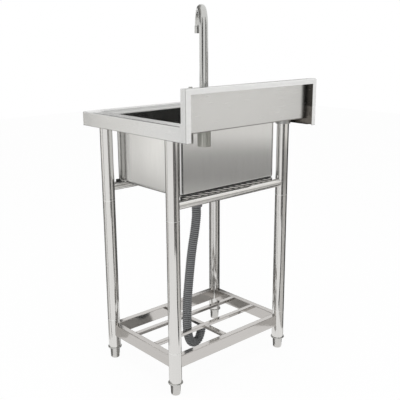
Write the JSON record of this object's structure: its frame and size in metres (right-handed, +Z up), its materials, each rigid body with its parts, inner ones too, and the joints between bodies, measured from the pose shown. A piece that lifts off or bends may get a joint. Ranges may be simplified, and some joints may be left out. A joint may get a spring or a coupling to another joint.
{
  "type": "utility laundry sink",
  "caption": "Freestanding stainless utility sink: folded worktop with upstand and bowl on tube legs with rails, lower shelf and adjustable feet, with tap and drain hose.",
  "frame": {"origin": "on the floor, under the middle of the worktop's outline", "axes": "+Z up, +Y towards the upstand and the wall, +X to the right seen from the front"},
  "size_m": [0.508, 0.484, 1.1035],
  "materials": {
    "worktop_sheet": "brushed stainless sheet, grain along each fold",
    "bowl_sheet": "dull pressed stainless sheet",
    "bearer_steel": "plain steel, unpolished",
    "screw_steel": "black oxide",
    "leg_tube": "polished stainless tube",
    "joint_steel": "polished stainless ring",
    "shelf_tube": "polished stainless tube",
    "foot_ring": "turned and polished",
    "foot_steel": "turned, satin",
    "waste_steel": "pressed and polished",
    "seal_rubber": "black moulded rubber",
    "waste_plastic": "moulded, pale grey",
    "coupling_plastic": "moulded, dark grey",
    "hose_plastic": "ribbed soft plastic, dark grey",
    "tap_steel": "satin polished stainless",
    "tap_fixing": "plain turned metal"
  },
  "bodies": {
    "frame": {"worktop": "worktop_sheet", "bowl": "bowl_sheet", "bearer_left": "bearer_steel", "bearer_right": "bearer_steel", "socket_front_left": "bearer_steel", "socket_front_right": "bearer_steel", "socket_back_left": "bearer_steel", "socket_back_right": "bearer_steel", "socket_screws": "screw_steel", "upper_leg_front_left": "leg_tube", "upper_leg_front_right": "leg_tube", "upper_leg_back_left": "leg_tube", "upper_leg_back_right": "leg_tube", "rail_front": "leg_tube", "rail_back": "leg_tube", "upper_joints": "joint_steel", "lower_joints": "joint_steel", "middle_leg_front_left": "leg_tube", "middle_leg_front_right": "leg_tube", "middle_leg_back_left": "leg_tube", "middle_leg_back_right": "leg_tube", "lower_leg_front_left": "leg_tube", "lower_leg_front_right": "leg_tube", "lower_leg_back_left": "leg_tube", "lower_leg_back_right": "leg_tube", "shelf_front": "shelf_tube", "shelf_back": "shelf_tube", "shelf_left": "shelf_tube", "shelf_right": "shelf_tube", "slat_front": "shelf_tube", "slat_back": "shelf_tube", "cross_front": "shelf_tube", "cross_middle": "shelf_tube", "cross_back": "shelf_tube", "foot_inserts": "foot_ring", "waste_body": "waste_steel", "waste_seal": "seal_rubber", "waste_gasket": "seal_rubber", "waste_nut": "waste_plastic", "coupling_nut": "coupling_plastic", "drain_hose": "hose_plastic", "tap_base": "tap_steel", "tap_body": "tap_steel", "tap_seal": "seal_rubber", "tap_washer": "tap_fixing", "tap_nut": "tap_fixing", "valve_ring": "tap_steel", "spout_nut": "tap_steel"},
    "foot_front_left": {"foot_front_left": "foot_steel"},
    "foot_front_right": {"foot_front_right": "foot_steel"},
    "foot_back_left": {"foot_back_left": "foot_steel"},
    "foot_back_right": {"foot_back_right": "foot_steel"},
    "strainer": {"strainer_basket": "waste_steel"},
    "lever": {"valve_spindle": "tap_fixing", "lever": "tap_steel"},
    "spout": {"spout": "tap_steel", "aerator": "tap_steel"}
  },
  "joints": [
    {"name": "foot_adjust_front_left", "type": "slide", "parent": "frame", "child": "foot_front_left", "axis": [0, 0, -1], "range_m": [0, 0.025]},
    {"name": "foot_adjust_front_right", "type": "slide", "parent": "frame", "child": "foot_front_right", "axis": [0, 0, -1], "range_m": [0, 0.025]},
    {"name": "foot_adjust_back_left", "type": "slide", "parent": "frame", "child": "foot_back_left", "axis": [0, 0, -1], "range_m": [0, 0.025]},
    {"name": "foot_adjust_back_right", "type": "slide", "parent": "frame", "child": "foot_back_right", "axis": [0, 0, -1], "range_m": [0, 0.025]},
    {"name": "strainer_lift", "type": "slide", "parent": "frame", "child": "strainer", "axis": [0, 0, 1], "range_m": [0, 0.06]},
    {"name": "lever_turn", "type": "hinge", "parent": "frame", "child": "lever", "pos_m": [0.168, 0.175, 0.8445], "axis": [1, 0, 0], "range_deg": [0, 90]},
    {"name": "spout_swivel", "type": "hinge", "parent": "frame", "child": "spout", "pos_m": [0.135, 0.175, 0.87], "axis": [0, 0, 1], "range_deg": [-55, 125]}
  ]
}
